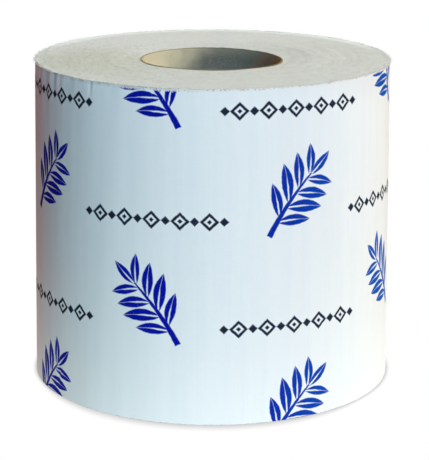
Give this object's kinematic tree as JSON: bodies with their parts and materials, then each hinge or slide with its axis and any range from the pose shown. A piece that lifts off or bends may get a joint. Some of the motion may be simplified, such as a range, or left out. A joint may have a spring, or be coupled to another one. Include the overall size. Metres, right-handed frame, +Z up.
{
  "type": "toilet paper roll",
  "caption": "Round roll of tissue wound on an open cardboard tube, in a thin printed paper wrapper, standing on its end.",
  "frame": {"origin": "middle of the roll's lower end, on the surface it stands on", "axes": "+Z up along the roll's axis; +X to the right and -Y towards the viewer, with the wrapper's lap at the back"},
  "size_m": [0.1, 0.1, 0.09],
  "materials": {
    "core_board": "matt brown board, spiral wound",
    "tissue": "matt warm grey recycled tissue, cut across its turns",
    "wrapper_paper": "smooth thin white paper with a faint sheen and a blue and slate print"
  },
  "bodies": {
    "root": {"core_tube": "core_board", "paper_roll": "tissue", "wrapper": "wrapper_paper"}
  },
  "joints": []
}
